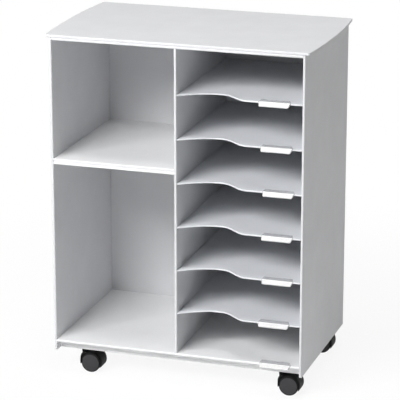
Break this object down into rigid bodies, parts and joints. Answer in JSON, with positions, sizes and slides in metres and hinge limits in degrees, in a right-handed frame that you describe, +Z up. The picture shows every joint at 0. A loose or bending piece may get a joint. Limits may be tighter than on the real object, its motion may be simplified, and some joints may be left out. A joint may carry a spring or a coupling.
{
  "type": "office trolley",
  "caption": "Mobile filing unit of thin white panels: open bays beside flat sorting compartments with curved finger cut-outs, sliding label clips and swivel twin-wheel castors.",
  "frame": {"origin": "on the floor, under the centre of the whole object's bounding box", "axes": "+X to the right seen from the open front, +Y to the back panel, +Z up"},
  "size_m": [0.552, 0.333, 0.704],
  "materials": {
    "sheet": "smooth satin white plastic sheet",
    "moulding": "moulded black plastic",
    "wheel": "smooth dark grey plastic",
    "clear_plastic": "clear extruded plastic",
    "card": "blank white card",
    "steel": "bright plated steel"
  },
  "bodies": {
    "carcass": {"left_side_panel": "sheet", "right_side_panel": "sheet", "centre_divider": "sheet", "back_panel": "sheet", "top_panel": "sheet", "top_board": "sheet", "base_panel": "sheet", "base_tray": "sheet", "middle_shelf": "sheet", "sorting_shelf_1": "sheet", "sorting_shelf_2": "sheet", "sorting_shelf_3": "sheet", "sorting_shelf_4": "sheet", "sorting_shelf_5": "sheet", "sorting_shelf_6": "sheet", "front_left_socket": "moulding", "front_left_stem": "steel", "front_right_socket": "moulding", "front_right_stem": "steel", "rear_left_socket": "moulding", "rear_left_stem": "steel", "rear_right_socket": "moulding", "rear_right_stem": "steel"},
    "front_left_castor": {"front_left_hood": "moulding", "front_left_axle": "steel"},
    "front_left_front_roller": {"front_left_wheel_front": "wheel"},
    "front_left_rear_roller": {"front_left_wheel_rear": "wheel"},
    "front_right_castor": {"front_right_hood": "moulding", "front_right_axle": "steel"},
    "front_right_front_roller": {"front_right_wheel_front": "wheel"},
    "front_right_rear_roller": {"front_right_wheel_rear": "wheel"},
    "rear_left_castor": {"rear_left_hood": "moulding", "rear_left_axle": "steel"},
    "rear_left_front_roller": {"rear_left_wheel_front": "wheel"},
    "rear_left_rear_roller": {"rear_left_wheel_rear": "wheel"},
    "rear_right_castor": {"rear_right_hood": "moulding", "rear_right_axle": "steel"},
    "rear_right_front_roller": {"rear_right_wheel_front": "wheel"},
    "rear_right_rear_roller": {"rear_right_wheel_rear": "wheel"},
    "label_slider_1": {"label_holder_1": "clear_plastic", "label_card_1": "card"},
    "label_slider_2": {"label_holder_2": "clear_plastic", "label_card_2": "card"},
    "label_slider_3": {"label_holder_3": "clear_plastic", "label_card_3": "card"},
    "label_slider_4": {"label_holder_4": "clear_plastic", "label_card_4": "card"},
    "label_slider_5": {"label_holder_5": "clear_plastic", "label_card_5": "card"},
    "label_slider_6": {"label_holder_6": "clear_plastic", "label_card_6": "card"},
    "label_slider_7": {"label_holder_7": "clear_plastic", "label_card_7": "card"}
  },
  "joints": [
    {"name": "front_left_swivel", "type": "hinge", "parent": "carcass", "child": "front_left_castor", "pos_m": [-0.2095, -0.1245, 0.02], "axis": [0, 0, 1], "continuous": true},
    {"name": "front_left_front_wheel_spin", "type": "hinge", "parent": "front_left_castor", "child": "front_left_front_roller", "pos_m": [-0.1905, -0.1245, 0.02], "axis": [0, 1, 0], "continuous": true},
    {"name": "front_left_rear_wheel_spin", "type": "hinge", "parent": "front_left_castor", "child": "front_left_rear_roller", "pos_m": [-0.1905, -0.1245, 0.02], "axis": [0, 1, 0], "continuous": true},
    {"name": "front_right_swivel", "type": "hinge", "parent": "carcass", "child": "front_right_castor", "pos_m": [0.2095, -0.1245, 0.02], "axis": [0, 0, 1], "continuous": true},
    {"name": "front_right_front_wheel_spin", "type": "hinge", "parent": "front_right_castor", "child": "front_right_front_roller", "pos_m": [0.2285, -0.1245, 0.02], "axis": [0, 1, 0], "continuous": true},
    {"name": "front_right_rear_wheel_spin", "type": "hinge", "parent": "front_right_castor", "child": "front_right_rear_roller", "pos_m": [0.2285, -0.1245, 0.02], "axis": [0, 1, 0], "continuous": true},
    {"name": "rear_left_swivel", "type": "hinge", "parent": "carcass", "child": "rear_left_castor", "pos_m": [-0.2095, 0.1275, 0.02], "axis": [0, 0, 1], "continuous": true},
    {"name": "rear_left_front_wheel_spin", "type": "hinge", "parent": "rear_left_castor", "child": "rear_left_front_roller", "pos_m": [-0.1905, 0.1275, 0.02], "axis": [0, 1, 0], "continuous": true},
    {"name": "rear_left_rear_wheel_spin", "type": "hinge", "parent": "rear_left_castor", "child": "rear_left_rear_roller", "pos_m": [-0.1905, 0.1275, 0.02], "axis": [0, 1, 0], "continuous": true},
    {"name": "rear_right_swivel", "type": "hinge", "parent": "carcass", "child": "rear_right_castor", "pos_m": [0.2095, 0.1275, 0.02], "axis": [0, 0, 1], "continuous": true},
    {"name": "rear_right_front_wheel_spin", "type": "hinge", "parent": "rear_right_castor", "child": "rear_right_front_roller", "pos_m": [0.2285, 0.1275, 0.02], "axis": [0, 1, 0], "continuous": true},
    {"name": "rear_right_rear_wheel_spin", "type": "hinge", "parent": "rear_right_castor", "child": "rear_right_rear_roller", "pos_m": [0.2285, 0.1275, 0.02], "axis": [0, 1, 0], "continuous": true},
    {"name": "label_slide_1", "type": "slide", "parent": "carcass", "child": "label_slider_1", "axis": [1, 0, 0], "range_m": [-0.1709, 0.0164]},
    {"name": "label_slide_2", "type": "slide", "parent": "carcass", "child": "label_slider_2", "axis": [1, 0, 0], "range_m": [-0.0267, 0.0195]},
    {"name": "label_slide_3", "type": "slide", "parent": "carcass", "child": "label_slider_3", "axis": [1, 0, 0], "range_m": [-0.0332, 0.013]},
    {"name": "label_slide_4", "type": "slide", "parent": "carcass", "child": "label_slider_4", "axis": [1, 0, 0], "range_m": [-0.0319, 0.0143]},
    {"name": "label_slide_5", "type": "slide", "parent": "carcass", "child": "label_slider_5", "axis": [1, 0, 0], "range_m": [-0.0335, 0.0127]},
    {"name": "label_slide_6", "type": "slide", "parent": "carcass", "child": "label_slider_6", "axis": [1, 0, 0], "range_m": [-0.029, 0.0172]},
    {"name": "label_slide_7", "type": "slide", "parent": "carcass", "child": "label_slider_7", "axis": [1, 0, 0], "range_m": [-0.0243, 0.0219]}
  ]
}
